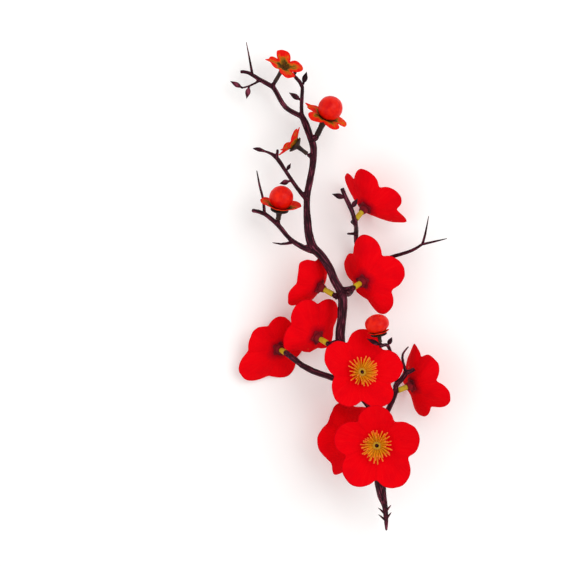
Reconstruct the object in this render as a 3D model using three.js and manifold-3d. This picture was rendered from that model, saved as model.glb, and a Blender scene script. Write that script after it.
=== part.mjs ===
// Artificial plum blossom branch, lying down: a moulded branch with nine fabric blossoms and five
// small bud flowers pushed onto its pins. Millimetres. +Y runs along the branch to its thin tip,
// +Z is up, and Z = 0 is the surface that three of the lowest petals touch.
import * as THREE from 'three';
import { mergeVertices } from 'three/addons/utils/BufferGeometryUtils.js';
import Module from 'manifold-3d';

const wasm = await Module();
wasm.setup();

// Seat clearance between pushed-together pieces
const GAP = 0.35;

// Stamen piece: stem pushed over a pin, hub and filaments
const STEM_RADIUS = 1.6;
const STEM_BORE = 1.15;
const STEM_LENGTH = 10.6;
const HUB_RADIUS = 3.2;
const HUB_BASE = 1;
const HUB_TOP = 2.4;
const FILAMENTS = 12;
const FILAMENT_LENGTH = 8.6;
const FILAMENT_RADIUS = 0.45;
const FILAMENT_RISE = 24;
const FILAMENT_SPAN = 44;
const GOLDEN_ANGLE = Math.PI * (3 - Math.sqrt(5));

// Pins of the branch
const PIN_RADIUS = 0.62;
const BOSS_RADIUS = 1.7;
const BOSS_END = 1.8;
const BOSS_STRAIGHT = 2.88;

// Blossom petals: one heat-formed five-lobed sheet
const PETALS = 5;
const REACH = 23.4;
const SHEET = 0.7;
const PETAL_HOLE = 2.25;
const LOBE_CENTRE = 0.59;
const LOBE_RADIUS = 0.41;
const LOBE_NOTCH = 0.695;
const LOBE_FULL = 0.93;
const EDGE_CURL = 2.6;
const CUP_CURVE = 1.5;
const PETAL_SIDES = 8;
const SHEET_RINGS = 3;

// Calyx: cup behind the petals with five pointed sepals
const CALYX_GAP = 0.55;
const CALYX_HOLE = 2;
const CALYX_DEPTH = 3.3;
const SEPAL_NOTCH = 3.4;
const SEPAL_TIP = 4.8;

// Bud flowers
const PEG_BORE = 0.85;
const BUD_PIN = 0.5;
const BUD_PIN_LENGTH = 3;
const CUP_WALL = 0.8;
const BALL_GAP = 0.5;
const BUD_SHEET = 0.65;
const BUD_HOLE = 5;
const BUD_SIDES = 4;
const BUD_NOTCH = 0.3;
const FLARE_START = 2;
const FLARE_CURVE = 1.3;

const BARK = '#3c1424';
const PETAL_RED = '#d80a1c';
const SEPAL_BROWN = '#4a1a22';
const STAMEN_YELLOW = '#e0a010';
const CUP_BROWN = '#2a1a1c';
const BALL_RED = '#d8140f';

// seat: middle of the petal sheet. facing: the way the blossom opens. turn: angle of the first
// petal, from the side of the blossom that is turned up. petals: reach of each, as a share, the
// degrees that it closes more than the others, and how far its tip is drawn to a point. full: how
// far the notches between petals are filled. stalk: where its boss leaves the branch. rests: its
// lowest petal edge is on the surface.
const BLOSSOMS = [
  { seat: [14, 45, 19.3], facing: [0.545, 0.675, -0.5], turn: 32, cup: 14, full: 0.05, rests: true,
    petals: [[0.84, 3], [1.03, -2, 0.6], [0.76, 2], [0.92, 0], [0.88, -4]], stalk: [8, 36.6, 29] },
  { seat: [12.7, 2.8, 22.3], facing: [0.52, 0.33, -0.79], turn: 14, cup: 10, full: 0,
    petals: [[1, 0], [0.9, -20], [0.5, 8], [0.92, 10], [1.04, -6]], stalk: [1.6, -2, 26.8] },
  { seat: [-12.5, -0.1, 19.4], facing: [-0.79, 0.454, -0.42], turn: 17, cup: 11, full: 0.2,
    petals: [[0.9, 0, 0.6], [0.73, 0], [0.76, 0], [0.92, 0], [0.84, 0]], stalk: [0, -4, 27] },
  { seat: [-13.8, -28.9, 22.4], facing: [-0.58, 0.34, -0.74], turn: 32, cup: 7, full: 0.3,
    petals: [[0.98, 0], [1, 0], [0.6, 0], [0.5, 15], [0.86, 0]], stalk: [-0.4, -31.5, 26.5] },
  { seat: [-35.3, -35.8, 10.8], facing: [-0.36, 0.2, -0.91], turn: 0, cup: 8, full: 0.3, rests: true,
    petals: [[0.76, 0], [0.78, 0], [0.74, 0], [0.82, 0], [1.1, 0]], stalk: [-22, -45.2, 24.2] },
  { seat: [10.9, -49.2, 38.6], facing: [0.375, 0.25, 0.892], turn: 14, cup: 8, full: 0,
    petals: [[1.04, -8], [1, 0], [1, 0], [1.02, -9], [1.07, -6]], stalk: [6.2, -54, 26] },
  { seat: [40.8, -56.2, 20], facing: [0.84, 0.32, -0.44], turn: 46, cup: 14.5, full: 0, rests: true,
    petals: [[0.92, 0], [0.8, -20], [0.8, -12], [0.94, 0, 0.6], [0.84, 0]], stalk: [31, -60, 28] },
  { seat: [20.5, -89.9, 39.4], facing: [-0.137, -0.156, 0.978], turn: 41, cup: 9, full: 0,
    petals: [[1.05, 0], [1.04, 0], [1.08, -4], [1.1, -4], [1.08, -4]], stalk: [22, -88, 25.5] },
  { seat: [9.6, -87.5, 19.3], facing: [-0.74, 0.015, -0.67], turn: -3, cup: 10, full: 0.6,
    petals: [[1, 0], [0.94, 0], [0.96, -10], [0.8, -6], [1, 8, 0.8]], stalk: [21.5, -87.6, 25.5] },
];

// stalk: where its boss leaves the branch. foot: where its peg stands. ball: middle of the ball, or
// of an open bud's hollow. brim and open: degrees that the cup and the petals climb round it.
// flare: how far the petals then reach out. droop: how far their tips hang back toward the peg.
const BUDS = [
  { name: 'bud_a', stalk: [-38.6, 113.6, 16.8], foot: [-37.6, 116.6, 18], ball: [-31, 127.3, 28.6],
    round: 3.6, peg: 1.2, brim: 38, open: 78, flare: 6.4, droop: 0, lobes: 4, turn: 31, squash: 1,
    filled: false },
  { name: 'bud_b', stalk: [-16.6, 83, 21.6], foot: [-13.6, 86.1, 22], ball: [-6.1, 101.2, 30.4],
    round: 7, peg: 1.7, brim: 34, open: 72, flare: 5, droop: 4, lobes: 5, turn: 36, squash: 1,
    filled: true },
  { name: 'bud_c', stalk: [-16, 73, 22.3], foot: [-19, 75.2, 22.9], ball: [-30, 83.5, 24],
    round: 4.6, peg: 1.2, brim: 48, open: 84, flare: 5, droop: 0, lobes: 5, turn: 0, squash: 1,
    filled: false },
  { name: 'bud_d', stalk: [-36.3, 35.4, 22.4], foot: [-35.8, 37.8, 22.7], ball: [-34, 50.3, 27],
    round: 6.9, peg: 1.5, brim: 36, open: 74, flare: 4.4, droop: 1, lobes: 2, turn: 96, squash: 1,
    filled: true },
  { name: 'bud_e', stalk: [23, -33.6, 43.2], foot: [22.1, -31.9, 44], ball: [20.1, -21.2, 47],
    round: 6.9, peg: 1.1, brim: 30, open: 47, flare: 0.4, droop: 0, lobes: 5, turn: 0, squash: 0.76,
    filled: true },
];

// Routes of the branch and its twigs, from the thick end: x, y, z, radius
const TRUNK = [
  [26, -139.5, 18, 0.7], [25.7, -132, 18.6, 1.45], [25, -125, 19.2, 1.75],
  [23.4, -119, 20, 2.6], [22.4, -112, 21, 3.3], [22, -106, 22, 2.9], [22, -97, 24, 2.8],
  [22, -87.5, 25.5, 2.9], [21.3, -78, 26, 2.8], [18, -69.5, 26, 2.8], [11.5, -61.5, 26, 2.8],
  [5.5, -53.5, 26, 2.8], [1.5, -42, 26, 2.8], [-0.5, -29.5, 26, 2.8], [0.5, -18, 26.5, 2.8],
  [1, -8, 27, 2.75], [-0.5, -2.5, 27, 2.6], [-3.5, 3, 27, 2.5], [-6.5, 10, 26.5, 2.5],
  [-11.5, 17.5, 26, 2.5], [-16, 22, 25.5, 2.6], [-18, 28.5, 25, 2.5], [-19, 36.5, 24.5, 2.3],
  [-19.5, 46, 24, 1.95], [-19, 53.5, 23.5, 1.9], [-17.5, 61, 23, 1.95], [-16, 70.5, 22.5, 2],
  [-15.5, 78.5, 22, 2.05], [-17, 83.5, 21.5, 2], [-20.5, 93.5, 21, 2], [-23, 98, 20.5, 1.6],
];
const TWIGS = [
  // upper left arm, with its tip cut blunt
  [[-23, 97, 20.5, 1.5], [-31.5, 102, 19, 1.45], [-37, 111, 17, 1.4], [-38.5, 113.5, 16.5, 1.45],
    [-45.5, 117.5, 15.5, 1.3], [-53, 122, 14.5, 1.1], [-57.5, 122.5, 14, 1]],
  // upright twig beside it
  [[-22, 95.5, 20.5, 1.3], [-22.5, 102, 20, 1.15], [-22, 113.5, 19, 1.15],
    [-23.5, 116.5, 18.5, 1.2], [-27.5, 121, 17.5, 0.9]],
  // fork on the upper left arm that carries two leaf buds
  [[-46, 117.5, 15.5, 0.8], [-52, 114.5, 14.5, 0.65], [-56.5, 113.2, 14, 0.6]],
  // left arm above the middle
  [[-19.5, 49.5, 24, 1.6], [-25, 56, 23.5, 1.25], [-31.5, 65.5, 22.5, 1.15],
    [-36.5, 73, 21.5, 1.3], [-40, 75.6, 21, 0.95], [-43.6, 77, 20.4, 0.8],
    [-46.6, 78, 20, 1.4], [-50.4, 78.6, 19.6, 0.35]],
  [[-36.5, 73, 21.5, 0.95], [-36, 78, 21.8, 0.8]],
  // lower left arm that carries bud d
  [[-16, 20.5, 25.5, 2.2], [-21.5, 22, 25, 1.7], [-29, 27, 24, 1.35], [-36, 35, 22.5, 1.4],
    [-43.5, 41.3, 21.5, 1.3], [-47, 42.5, 21, 1.2], [-50.8, 43.2, 20.6, 1.1]],
  [[-28, 24.8, 24, 1], [-34, 24, 23.6, 0.75], [-39.5, 25, 23.4, 0.3]],
  // arm that dips under blossom 2 and carries blossom 1
  [[0.5, -4, 27, 2], [3.2, -4.6, 22, 1.5], [5, -4.4, 13, 1.3], [7.6, -0.5, 7, 1.2],
    [10.2, 9, 5.6, 1.2], [10, 18, 5.4, 1.2], [8.8, 26, 6.8, 1.3], [8.8, 31.4, 12, 1.4],
    [8.6, 34, 21, 1.4], [8.1, 36, 28, 1.45], [7.3, 38.8, 31, 1.4],
    [6.2, 42.8, 32, 1.4], [2.3, 51, 31.5, 1.35], [0.5, 55.7, 31, 1.25]],
  [[8.6, 30, 10.6, 0.9], [3.6, 30, 11, 0.75]],
  // arm under blossom 2 that ends in two needles on the right
  [[8.6, 22, 6, 1.1], [15.5, 20, 5.6, 1], [23.5, 15.8, 8.4, 1], [31.2, 17.4, 14.6, 1.1],
    [40.5, 20.4, 19, 1], [46.5, 24, 20.5, 0.85]],
  // lower left arm to blossom 5
  [[7.5, -56, 26, 2.2], [0, -54, 26.5, 1.9], [-6.5, -51.5, 26.5, 1.8], [-15.5, -48.5, 25.4, 1.8],
    [-23, -44.6, 24, 1.7]],
  // lower right arm, past blossom 7, to a cut stub
  [[22, -81, 26, 2.2], [24.5, -75.5, 26.5, 1.7], [29, -65.5, 27.5, 1.6], [31, -60, 28, 1.7],
    [31.2, -56.5, 27.6, 1.6], [34.5, -53, 27, 1.5], [37.3, -49, 27, 1.6], [39.6, -48.4, 27.2, 1.3],
    [41.8, -47, 27.4, 1.2]],
  // stem of bud e
  [[31.2, -58, 27.8, 1.2], [31.6, -50, 25, 1.1], [30.4, -43, 26.5, 1.05],
    [28.2, -37.6, 30.5, 1.05], [26.8, -34.2, 35.5, 1.05], [25.2, -33.2, 40, 1.05],
    [23, -33.6, 43.2, 1.05]],
];
// Thin pointed needles, with their base and tip radius in the routes
const NEEDLES = [
  [[-50.5, 120.5, 14.8, 0.8], [-51.5, 126.5, 14.4, 0.65], [-54, 139.5, 13.5, 0.25]],
  [[-43.5, 41.5, 21.5, 0.95], [-44.5, 50, 16.5, 0.75], [-46.5, 58, 15.5, 0.6], [-48, 66, 15.5, 0.35]],
  [[46.3, 23.6, 20.5, 0.8], [48, 29.5, 21, 0.65], [50, 40, 22, 0.3]],
  [[46, 23.8, 20.5, 0.75], [53.5, 25.5, 21, 0.6], [60.5, 27.2, 21.4, 0.3]],
  [[37.1, -49.2, 27, 0.95], [35.2, -43.2, 26.6, 0.8], [35.2, -38.5, 26.2, 0.65],
    [38.4, -34.4, 26, 0.4]],
];
// Pointed leaf buds: root, tip and widest radius
const LEAF_BUDS = [
  [[-21.7, 115, 18.9], [-19.5, 122.3, 19.6], 1.3], [[-22.6, 106, 19.8], [-29.5, 110.3, 20.6], 1.3],
  [[-56, 113.2, 14], [-63.2, 117.2, 13.6], 1.15], [[-52.4, 114.4, 14.4], [-53.8, 107.2, 13.8], 1.3],
  [[-31, 65.6, 22.5], [-28.6, 70, 23], 0.9], [[-28.8, 60, 23], [-35, 58.4, 22.8], 1.2],
  [[2.8, 50, 31.6], [-5.2, 52.4, 31.6], 1.4], [[5.8, 44, 32], [9.4, 49.8, 33.2], 1.3],
  [[26.4, -33.8, 37.2], [28.8, -28.8, 39], 1.3],
  [[22.8, -33.8, 42.8], [14.4, -29.6, 42.8], 1.3], [[-26.8, 119.9, 17.6], [-25.4, 124.4, 17], 1],
];
// Barbs near the point of the spike: root and tip
const BARBS = [
  [[24.4, -129.2, 18.9], [21.2, -126.4, 18.9]], [[24.8, -133, 18.5], [21.4, -130.2, 18.5]],
  [[26.4, -127.6, 19], [28.6, -124.8, 19]], [[26.6, -131.8, 18.6], [28.8, -129, 18.6]],
];
const BARB_RADIUS = 0.65;

const rad = THREE.MathUtils.degToRad;
const UP = new THREE.Vector3(0, 0, 1);

function vector(point) {
  return new THREE.Vector3(point[0], point[1], point[2]);
}

function geometryOf(positions, triangles) {
  const geometry = new THREE.BufferGeometry();
  geometry.setAttribute('position', new THREE.Float32BufferAttribute(positions, 3));
  geometry.setIndex(triangles);
  return geometry;
}

function solidOf(geometry) {
  const plain = geometry.clone();
  plain.deleteAttribute('normal');
  plain.deleteAttribute('uv');
  const merged = mergeVertices(plain, 1e-4);
  return new wasm.Manifold(new wasm.Mesh({
    numProp: 3,
    vertProperties: new Float32Array(merged.attributes.position.array),
    triVerts: new Uint32Array(merged.index.array),
  }));
}

function joined(geometries) {
  const solid = wasm.Manifold.union(geometries.map(solidOf)).simplify(0.05);
  const mesh = solid.getMesh();
  return geometryOf(Array.from(mesh.vertProperties), Array.from(mesh.triVerts));
}

// Closed tapered rod through points that carry their own radius
function rod(route, sides, spacing) {
  const curve = new THREE.CatmullRomCurve3(route.map(vector), false, 'centripetal');
  const steps = Math.max(route.length - 1, Math.round(curve.getLength() / spacing));
  const frames = curve.computeFrenetFrames(steps, false);
  const positions = [];
  const triangles = [];
  for (let step = 0; step <= steps; step += 1) {
    const along = step / steps;
    const middle = curve.getPointAt(along);
    const place = curve.getUtoTmapping(along, 0) * (route.length - 1);
    const before = Math.min(Math.floor(place), route.length - 2);
    const radius = THREE.MathUtils.lerp(route[before][3], route[before + 1][3], place - before);
    for (let side = 0; side < sides; side += 1) {
      const angle = (2 * Math.PI * side) / sides;
      const point = middle.clone()
        .addScaledVector(frames.normals[step], radius * Math.cos(angle))
        .addScaledVector(frames.binormals[step], radius * Math.sin(angle));
      positions.push(point.x, point.y, point.z);
    }
  }
  for (let step = 0; step < steps; step += 1) {
    for (let side = 0; side < sides; side += 1) {
      const a = step * sides + side;
      const b = step * sides + ((side + 1) % sides);
      triangles.push(a, b, b + sides, a, b + sides, a + sides);
    }
  }
  for (let side = 1; side < sides - 1; side += 1) {
    const last = steps * sides;
    triangles.push(0, side + 1, side, last, last + side, last + side + 1);
  }
  return geometryOf(positions, triangles);
}

// Closed ring-shaped sheet between two surfaces, each given as a point for a share and an angle
function sheet(lower, upper, around, rings) {
  const positions = [];
  const triangles = [];
  const surface = [lower, upper];
  for (const face of surface) {
    for (let ring = 0; ring <= rings; ring += 1) {
      for (let turn = 0; turn < around; turn += 1) {
        const point = face(ring / rings, (2 * Math.PI * turn) / around);
        positions.push(point.x, point.y, point.z);
      }
    }
  }
  const faceSize = (rings + 1) * around;
  for (let ring = 0; ring < rings; ring += 1) {
    for (let turn = 0; turn < around; turn += 1) {
      const a = ring * around + turn;
      const b = ring * around + ((turn + 1) % around);
      triangles.push(a, b + around, a + around, a, b, b + around);
      const c = a + faceSize;
      const d = b + faceSize;
      triangles.push(c, c + around, d + around, c, d + around, d);
    }
  }
  for (let turn = 0; turn < around; turn += 1) {
    const next = (turn + 1) % around;
    const rim = rings * around;
    triangles.push(turn, turn + faceSize, next + faceSize, turn, next + faceSize, next);
    triangles.push(rim + turn, rim + next, rim + next + faceSize);
    triangles.push(rim + turn, rim + next + faceSize, rim + turn + faceSize);
  }
  return geometryOf(positions, triangles);
}

// The same surface moved along its own normal
function shifted(face, distance) {
  const STEP = 0.01;
  return (share, angle) => {
    const low = Math.max(share - STEP, 0);
    const high = Math.min(share + STEP, 1);
    const outward = face(high, angle).sub(face(low, angle));
    const sideways = face(share, angle + STEP).sub(face(share, angle - STEP));
    const normal = outward.cross(sideways).normalize();
    return face(share, angle).addScaledVector(normal, distance);
  };
}

// Angle from the middle of the nearest petal, and the numbers of that petal and its neighbour
function petalAt(angle, count) {
  const pitch = (2 * Math.PI) / count;
  const number = Math.round(angle / pitch);
  const off = angle - number * pitch;
  const own = ((number % count) + count) % count;
  const neighbour = (own + (off < 0 ? count - 1 : 1)) % count;
  return { off, share: Math.abs(off) / (pitch / 2), own, neighbour };
}

// Outline of a lobe as a share of its reach: round, or drawn to a point
function lobe(off, fold, point) {
  const side = LOBE_CENTRE * Math.sin(off);
  const round = LOBE_CENTRE * Math.cos(off) + Math.sqrt(LOBE_RADIUS ** 2 - side ** 2);
  const pointed = LOBE_NOTCH + (1 - LOBE_NOTCH) * (1 - fold) ** 1.5;
  return THREE.MathUtils.lerp(round, pointed, point);
}

// Distance of the rim from the axis at an angle, and how much the petal there closes
function petalEdge(blossom, angle) {
  const petal = petalAt(angle, PETALS);
  const mix = 0.5 * petal.share ** 2;
  const [reach, lift, point = 0] = blossom.petals[petal.own];
  const [nextReach, nextLift] = blossom.petals[petal.neighbour];
  const cut = THREE.MathUtils.lerp(
    lobe(petal.off, petal.share, point), LOBE_FULL, blossom.full * petal.share ** 2);
  return {
    radius: REACH * THREE.MathUtils.lerp(reach, nextReach, mix) * cut,
    lift: rad(THREE.MathUtils.lerp(lift, nextLift, mix)),
    fold: petal.share,
  };
}

function blossomSurface(blossom) {
  return (share, angle) => {
    const edge = petalEdge(blossom, angle);
    const out = share * (edge.radius - PETAL_HOLE);
    const spread = out / (REACH - PETAL_HOLE);
    const rise = (blossom.cup + EDGE_CURL * edge.fold ** 2) * spread ** CUP_CURVE;
    const lift = edge.lift * Math.min(1, 3 * spread);
    const far = PETAL_HOLE + out * Math.cos(lift) - rise * Math.sin(lift);
    const height = out * Math.sin(lift) + rise * Math.cos(lift);
    return new THREE.Vector3(far * Math.cos(angle), far * Math.sin(angle), height);
  };
}

function petalSheet(blossom, matrix) {
  const face = blossomSurface(blossom);
  const whole = sheet(shifted(face, -SHEET / 2), shifted(face, SHEET / 2),
    PETAL_SIDES * PETALS, SHEET_RINGS);
  return blossom.rests ? trimmed(whole, matrix) : whole;
}

// Takes off what would be under the surface, which leaves a small flat edge to rest on
function trimmed(geometry, matrix) {
  const solid = solidOf(geometry.clone().applyMatrix4(matrix));
  const mesh = solid.trimByPlane([0, 0, 1], 0).simplify(0.02).getMesh();
  return geometryOf(Array.from(mesh.vertProperties), Array.from(mesh.triVerts))
    .applyMatrix4(matrix.clone().invert());
}

// Calyx: its upper side follows the back of the petals, its lower side is a cone
function calyx(blossom) {
  const back = shifted(blossomSurface(blossom), -SHEET / 2 - CALYX_GAP);
  const upper = (share, angle) => {
    const edge = petalEdge(blossom, angle);
    const tip = THREE.MathUtils.lerp(SEPAL_TIP, SEPAL_NOTCH, edge.fold);
    const radius = CALYX_HOLE + share * (tip - CALYX_HOLE);
    const along = Math.max(radius - PETAL_HOLE, 0) / (edge.radius - PETAL_HOLE);
    return new THREE.Vector3(
      radius * Math.cos(angle), radius * Math.sin(angle), back(along, angle).z);
  };
  const lower = (share, angle) => {
    const top = upper(share, angle);
    const depth = THREE.MathUtils.lerp(CALYX_DEPTH, SHEET, share);
    return new THREE.Vector3(top.x, top.y, top.z - depth);
  };
  return sheet(lower, upper, 3 * PETALS, 1);
}

// Stamen piece: hollow stem and hub, with filaments rising round it
function stamenPiece(seed) {
  const stem = new THREE.LatheGeometry([
    new THREE.Vector2(STEM_BORE, GAP - STEM_LENGTH),
    new THREE.Vector2(STEM_RADIUS, GAP - STEM_LENGTH),
    new THREE.Vector2(STEM_RADIUS, HUB_BASE),
    new THREE.Vector2(HUB_RADIUS, (HUB_BASE + HUB_TOP) / 2),
    new THREE.Vector2(STEM_RADIUS, HUB_TOP),
    new THREE.Vector2(STEM_BORE, HUB_TOP),
    new THREE.Vector2(STEM_BORE, GAP - STEM_LENGTH),
  ], 6).rotateX(Math.PI / 2);
  const filaments = [];
  for (let number = 0; number < FILAMENTS; number += 1) {
    const turn = (number + 0.37 * seed) * GOLDEN_ANGLE;
    const rise = rad(FILAMENT_RISE + (FILAMENT_SPAN * number) / FILAMENTS);
    const length = FILAMENT_LENGTH * (0.86 + 0.14 * Math.sin(5.1 * number + seed));
    const start = (HUB_RADIUS + STEM_RADIUS) / 2;
    const level = (HUB_BASE + HUB_TOP) / 2;
    const route = [0, length].map((along) => {
      const out = start + along * Math.cos(rise);
      return new THREE.Vector3(
        out * Math.cos(turn), out * Math.sin(turn), level + along * Math.sin(rise));
    });
    filaments.push(strand(...route));
  }
  return joined([stem, ...filaments]);
}

// Three-sided filament between two points
function strand(root, tip) {
  const direction = tip.clone().sub(root).normalize();
  const length = tip.distanceTo(root);
  const turned = new THREE.Quaternion().setFromUnitVectors(new THREE.Vector3(0, 1, 0), direction);
  return new THREE.CylinderGeometry(FILAMENT_RADIUS, FILAMENT_RADIUS, length, 3, 1)
    .applyQuaternion(turned)
    .translate(...root.clone().add(tip).multiplyScalar(0.5).toArray());
}

// Turns a geometry from a flower's own axes to the branch's: its Z goes along facing
function placing(seat, facing, turn) {
  const out = facing.clone().normalize();
  const upward = UP.clone().addScaledVector(out, -UP.dot(out)).normalize();
  const side = new THREE.Vector3().crossVectors(out, upward);
  const first = upward.clone().multiplyScalar(Math.cos(turn)).addScaledVector(side, Math.sin(turn));
  const second = new THREE.Vector3().crossVectors(out, first);
  return new THREE.Matrix4().makeBasis(first, second, out).setPosition(seat);
}

function material(colour, roughness) {
  return new THREE.MeshStandardMaterial({ color: colour, roughness, metalness: 0 });
}

function piece(name, geometry, finish, matrix) {
  const mesh = new THREE.Mesh(geometry, finish);
  mesh.name = name;
  if (matrix) {
    matrix.decompose(mesh.position, mesh.quaternion, mesh.scale);
  }
  return mesh;
}

function blossomFrame(blossom) {
  const facing = new THREE.Vector3(...blossom.facing).normalize();
  return { seat: vector(blossom.seat), facing };
}

function budFrame(bud) {
  const foot = vector(bud.foot);
  const ball = vector(bud.ball);
  const facing = ball.clone().sub(foot);
  return { foot, ball, length: facing.length(), facing: facing.normalize() };
}

// Bud petals: a sheet that hugs the ball and flares at its lobed edge, past the cup's brim
function budSurface(bud) {
  const radius = bud.round + (BALL_GAP + BUD_SHEET / 2) / bud.squash;
  const start = bud.brim + FLARE_START;
  return (share, angle) => {
    const petal = petalAt(angle, bud.lobes);
    const edge = bud.open * (1 - BUD_NOTCH * petal.share ** 3);
    const climb = BUD_HOLE + share * (edge - BUD_HOLE);
    const past = Math.max(0, (climb - start) / (bud.open - start));
    const spread = radius * Math.sin(rad(climb)) + bud.flare * past ** FLARE_CURVE;
    const level = -bud.squash * radius * Math.cos(rad(climb)) - bud.droop * past ** 2;
    return new THREE.Vector3(spread * Math.cos(angle), spread * Math.sin(angle), level);
  };
}

function budSheet(bud) {
  const face = budSurface(bud);
  const around = BUD_SIDES * bud.lobes;
  const fewest = BUD_SIDES * BUD_SIDES;
  return sheet(shifted(face, -BUD_SHEET / 2), shifted(face, BUD_SHEET / 2),
    Math.max(around, fewest), SHEET_RINGS);
}

// Dark cup under the bud petals, on a peg with a bore for its pin
function budCup(bud, length) {
  const inner = bud.round + (2 * BALL_GAP + BUD_SHEET) / bud.squash;
  const outer = inner + CUP_WALL;
  const lean = Math.asin(bud.peg / outer);
  const brim = rad(bud.brim);
  const at = (radius, angle) => new THREE.Vector2(radius * Math.sin(angle),
    -bud.squash * radius * Math.cos(angle));
  return new THREE.LatheGeometry([
    new THREE.Vector2(0, GAP - length + BUD_PIN_LENGTH),
    new THREE.Vector2(PEG_BORE, GAP - length + BUD_PIN_LENGTH),
    new THREE.Vector2(PEG_BORE, GAP - length),
    new THREE.Vector2(bud.peg, GAP - length),
    at(outer, lean),
    at(outer, 0.6 * brim),
    at((inner + outer) / 2, brim),
    at(inner, 0.9 * brim),
    at(inner, 0.45 * brim),
    at(inner, 0),
  ], 8).rotateX(Math.PI / 2);
}

function ball(bud) {
  return new THREE.SphereGeometry(bud.round, 12, 8).rotateX(Math.PI / 2).scale(1, 1, bud.squash);
}

// The branch: trunk, twigs, needles, leaf buds, barbs, and a boss and pin for each flower
function branch() {
  const rods = [rod(TRUNK, 6, 8)];
  for (const route of TWIGS) {
    rods.push(rod(route, 5, 7));
  }
  for (const route of NEEDLES) {
    rods.push(rod(route, 4, 9));
  }
  for (const [root, tip, width] of LEAF_BUDS) {
    const between = (share, radius) => [
      ...root.map((value, axis) => THREE.MathUtils.lerp(value, tip[axis], share)), radius];
    rods.push(rod([between(0, 0.5 * width), between(0.4, width), between(0.75, 0.7 * width),
      between(1, 0.15)], 4, 4));
  }
  for (const [root, tip] of BARBS) {
    rods.push(rod([[...root, BARB_RADIUS], [...tip, 0.2]], 3, 5));
  }
  return rods;
}

// Boss from the branch to a flower's foot, and the pin that stands on it
function pin(stalk, foot, facing, boss, radius, length) {
  const place = (distance, size) => {
    const point = foot.clone().addScaledVector(facing, distance);
    return [point.x, point.y, point.z, size];
  };
  return [
    rod([[...stalk, boss], place(-BOSS_END, boss)], 5, 12),
    rod([place(-BOSS_STRAIGHT, boss), place(0, boss)], 5, 12),
    rod([place(-BOSS_END, radius), place(length, radius)], 5, 2 * length),
  ];
}

const group = new THREE.Group();
const bark = branch();
BLOSSOMS.forEach((blossom, index) => {
  const name = `blossom_${index + 1}`;
  const { seat, facing } = blossomFrame(blossom);
  const matrix = placing(seat, facing, rad(blossom.turn));
  const foot = seat.clone().addScaledVector(facing, -STEM_LENGTH);
  bark.push(...pin(blossom.stalk, foot, facing, BOSS_RADIUS, PIN_RADIUS, STEM_LENGTH + HUB_BASE));
  group.add(piece(`${name}_petals`, petalSheet(blossom, matrix), material(PETAL_RED, 0.85), matrix));
  group.add(piece(`${name}_calyx`, calyx(blossom), material(SEPAL_BROWN, 0.6), matrix));
  group.add(piece(`${name}_stamens`, stamenPiece(index), material(STAMEN_YELLOW, 0.5), matrix));
});
for (const bud of BUDS) {
  const { foot, ball: middle, length, facing } = budFrame(bud);
  const matrix = placing(middle, facing, rad(bud.turn));
  bark.push(...pin(bud.stalk, foot, facing, bud.peg, BUD_PIN, BUD_PIN_LENGTH - GAP));
  group.add(piece(`${bud.name}_cup`, budCup(bud, length), material(CUP_BROWN, 0.6), matrix));
  group.add(piece(`${bud.name}_petals`, budSheet(bud), material(PETAL_RED, 0.85), matrix));
  if (bud.filled) {
    group.add(piece(`${bud.name}_ball`, ball(bud), material(BALL_RED, 0.2), matrix));
  }
}
group.add(piece('branch', joined(bark), material(BARK, 0.45)));

export default group;
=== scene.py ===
from collections import namedtuple
from math import asin, atan2, cos, exp, pi, radians, sin, sqrt

import bmesh
import bpy
from mathutils import Matrix, Vector, noise
from mathutils.kdtree import KDTree


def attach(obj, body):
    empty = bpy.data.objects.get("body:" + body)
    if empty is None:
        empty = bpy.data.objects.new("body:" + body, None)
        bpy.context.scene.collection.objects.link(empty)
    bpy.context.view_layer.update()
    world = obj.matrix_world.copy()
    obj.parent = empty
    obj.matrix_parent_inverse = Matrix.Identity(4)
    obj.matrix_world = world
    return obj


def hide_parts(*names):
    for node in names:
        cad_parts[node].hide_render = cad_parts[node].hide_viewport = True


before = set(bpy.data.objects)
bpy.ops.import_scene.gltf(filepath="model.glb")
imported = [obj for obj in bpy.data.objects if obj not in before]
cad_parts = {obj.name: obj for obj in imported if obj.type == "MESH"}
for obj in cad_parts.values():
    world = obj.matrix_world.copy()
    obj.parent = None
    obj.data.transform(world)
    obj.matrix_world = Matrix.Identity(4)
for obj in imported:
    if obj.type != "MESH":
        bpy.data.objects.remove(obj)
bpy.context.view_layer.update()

# Shapes are made in millimetres and stored in metres
MM = 0.001
UP = Vector((0, 0, 1))

# Cut of the blossom cloth; lobes, notches and filled notches are shares of the reach
PETALS = 5
REACH = 23.4
PETAL_HOLE = 2.25
LOBE_CENTRE = 0.59
LOBE_RADIUS = 0.41
NOTCH = 0.695
FULL = 0.93
CLOTH = 0.42

# Side of the square of flat cloth that carries the weave
CLOTH_SQUARE = 50

# Relief of the blossom cloth
EDGE_CURL = 2.6
WAVE = 0.9
FRILL = 0.45
CREASE = 0.5
UNEVEN_EDGE = 0.02

# The lowest petals end softly above the surface
REST_HEIGHT = 0.1
REST_EASE = 0.25

# Calyx: sepals behind the petals, and a neck round the stem as pairs of radius and height
CALYX_HOLE = 1.75
SEPAL_NOTCH = 3.2
SEPAL_TIP = 1.6
SEPAL_DROP = 0.75
SEPAL_DROOP = 0.35
SEPAL_RUFFLE = 0.15
SEPAL_CLOTH = 0.5
NECK_PROFILE = [
    (1.72, -4.2), (1.95, -4.1), (2.2, -3.3), (2.6, -2.3), (2.8, -1.4), (2.5, -0.95),
    (1.9, -1.0), (1.72, -1.3), (1.72, -4.2),
]

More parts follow.
